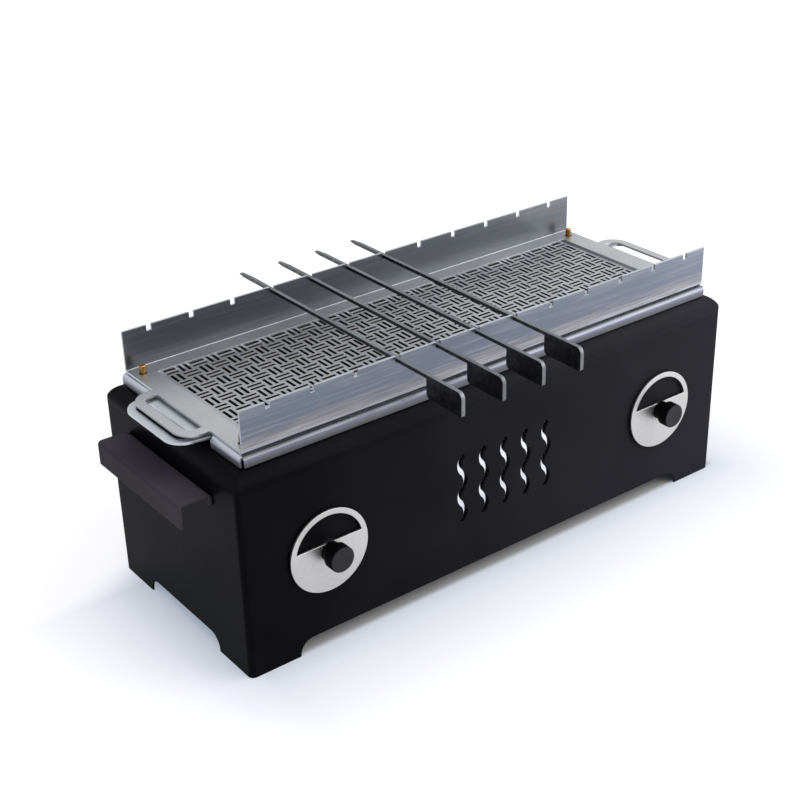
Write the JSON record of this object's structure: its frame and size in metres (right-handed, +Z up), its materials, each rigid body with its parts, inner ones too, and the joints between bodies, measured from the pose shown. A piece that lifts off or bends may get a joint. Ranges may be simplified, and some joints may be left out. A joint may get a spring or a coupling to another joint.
{
  "type": "charcoal table grill",
  "caption": "Rectangular charcoal table grill: insulated black steel casing on arched feet, rotary front dampers, basket-weave grill plate, lift-off skewer rack and end carry handles",
  "frame": {"origin": "middle of the whole grill's bounding box, on the plane that its four feet stand on", "axes": "+X along the length to the viewer's right, +Y from the front with the dampers to the back, +Z up"},
  "size_m": [0.6474, 0.346, 0.2547],
  "materials": {
    "casing_black": "matte",
    "base_black": "matte",
    "zinc_steel": "satin",
    "case_stainless": "polished",
    "insulating_board": "matte",
    "fire_steel": "matte",
    "disc_stainless": "satin",
    "knob_black": "matte",
    "grate_stainless": "satin",
    "tongue_stainless": "satin",
    "pin_copper": "satin",
    "rack_stainless": "satin",
    "skewer_steel": "satin"
  },
  "bodies": {
    "body": {"outer_shell": "casing_black", "base_plate": "base_black", "base_brackets": "zinc_steel", "base_screws": "zinc_steel", "inner_case": "case_stainless", "floor_board": "insulating_board", "front_board": "insulating_board", "rear_board": "insulating_board", "left_board": "insulating_board", "right_board": "insulating_board", "grate_ledge_left": "fire_steel", "grate_ledge_right": "fire_steel", "ledge_bolts": "zinc_steel", "ledge_nuts": "zinc_steel", "carry_handle_left": "casing_black", "carry_handle_right": "casing_black", "handle_screws": "zinc_steel", "handle_nuts": "zinc_steel", "damper_spacers": "casing_black", "damper_spring_washers": "zinc_steel"},
    "damper_left": {"damper_disc_left": "disc_stainless", "damper_knob_left": "knob_black", "damper_spindle_left": "zinc_steel", "damper_nut_left": "zinc_steel"},
    "damper_right": {"damper_disc_right": "disc_stainless", "damper_knob_right": "knob_black", "damper_spindle_right": "zinc_steel", "damper_nut_right": "zinc_steel"},
    "charcoal_bed": {"charcoal_grate": "fire_steel"},
    "grate": {"grill_plate": "grate_stainless", "grate_handle_left": "tongue_stainless", "grate_handle_right": "tongue_stainless", "locating_pins": "pin_copper"},
    "rack": {"skewer_rack": "rack_stainless"},
    "skewer_1": {"skewer_1": "skewer_steel"},
    "skewer_2": {"skewer_2": "skewer_steel"},
    "skewer_3": {"skewer_3": "skewer_steel"},
    "skewer_4": {"skewer_4": "skewer_steel"}
  },
  "joints": [
    {"name": "damper_left_turn", "type": "hinge", "parent": "body", "child": "damper_left", "pos_m": [-0.2055, -0.098, 0.101], "axis": [0, 1, 0], "range_deg": [0, 180]},
    {"name": "damper_right_turn", "type": "hinge", "parent": "body", "child": "damper_right", "pos_m": [0.2055, -0.098, 0.101], "axis": [0, 1, 0], "range_deg": [0, 180]},
    {"name": "charcoal_bed_lift", "type": "slide", "parent": "body", "child": "charcoal_bed", "axis": [0, 0, 1], "range_m": [0, 0.09]},
    {"name": "grate_lift", "type": "slide", "parent": "body", "child": "grate", "axis": [0, 0, 1], "range_m": [0, 0.12]},
    {"name": "rack_lift", "type": "slide", "parent": "grate", "child": "rack", "axis": [0, 0, 1], "range_m": [0, 0.08]},
    {"name": "skewer_1_lift", "type": "slide", "parent": "rack", "child": "skewer_1", "axis": [0, 0, 1], "range_m": [0, 0.04]},
    {"name": "skewer_2_lift", "type": "slide", "parent": "rack", "child": "skewer_2", "axis": [0, 0, 1], "range_m": [0, 0.04]},
    {"name": "skewer_3_lift", "type": "slide", "parent": "rack", "child": "skewer_3", "axis": [0, 0, 1], "range_m": [0, 0.04]},
    {"name": "skewer_4_lift", "type": "slide", "parent": "rack", "child": "skewer_4", "axis": [0, 0, 1], "range_m": [0, 0.04]}
  ]
}
